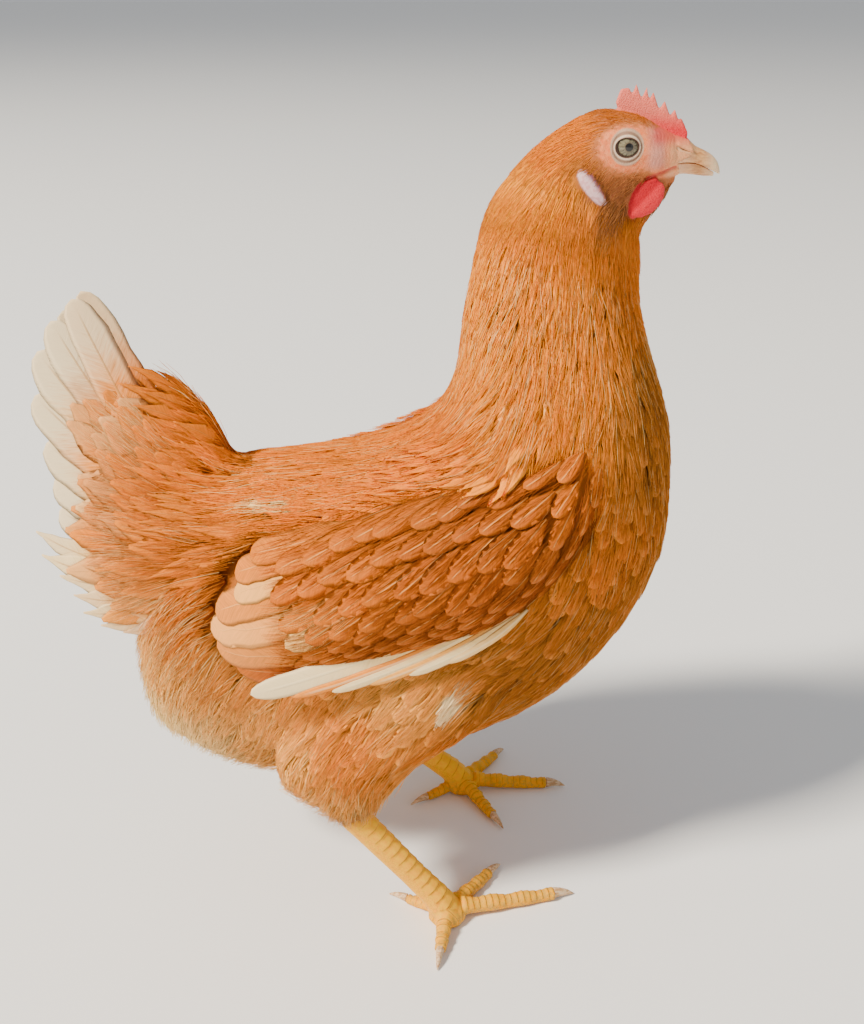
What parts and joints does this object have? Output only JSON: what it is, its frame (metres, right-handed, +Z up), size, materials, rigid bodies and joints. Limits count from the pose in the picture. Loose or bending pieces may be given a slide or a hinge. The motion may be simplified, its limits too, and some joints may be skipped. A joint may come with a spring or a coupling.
{
  "type": "hen",
  "caption": "Life-size ginger hen standing alert, neck raised and tail fanned, wings folded, with a small spiked comb, round wattles and bare yellow legs that rest on flat soles.",
  "frame": {"origin": "on the floor, under the middle of the hen's bounding box", "axes": "+X forwards along the body, +Y to the hen's left, +Z up"},
  "size_m": [0.3282, 0.195, 0.4202],
  "materials": {
    "ginger_plumage": "soft ginger feathers",
    "cream_plumage": "soft cream feathers",
    "face_skin": "bare wrinkled skin",
    "comb_skin": "waxy pebbled skin",
    "earlobe_skin": "smooth pale skin",
    "leg_scale": "semi-gloss scales",
    "horn": "satin horn",
    "eye": "wet gloss"
  },
  "bodies": {
    "root": {"beak_lower": "horn", "beak_upper": "horn", "claw_hind_left": "horn", "claw_hind_right": "horn", "claw_inner_left": "horn", "claw_inner_right": "horn", "claw_middle_left": "horn", "claw_middle_right": "horn", "claw_outer_left": "horn", "claw_outer_right": "horn", "comb": "comb_skin", "earlobe_left": "earlobe_skin", "earlobe_right": "earlobe_skin", "eye_left": "eye", "eye_right": "eye", "head": "face_skin", "neck": "ginger_plumage", "shank_left": "leg_scale", "shank_right": "leg_scale", "tail_left": "cream_plumage", "tail_right": "cream_plumage", "thigh_left": "ginger_plumage", "thigh_right": "ginger_plumage", "toe_hind_left": "leg_scale", "toe_hind_right": "leg_scale", "toe_inner_left": "leg_scale", "toe_inner_right": "leg_scale", "toe_middle_left": "leg_scale", "toe_middle_right": "leg_scale", "toe_outer_left": "leg_scale", "toe_outer_right": "leg_scale", "trunk": "ginger_plumage", "wattle_left": "comb_skin", "wattle_right": "comb_skin", "wing_left": "ginger_plumage", "wing_quills_left": "cream_plumage", "wing_quills_right": "cream_plumage", "wing_right": "ginger_plumage"}
  },
  "joints": []
}
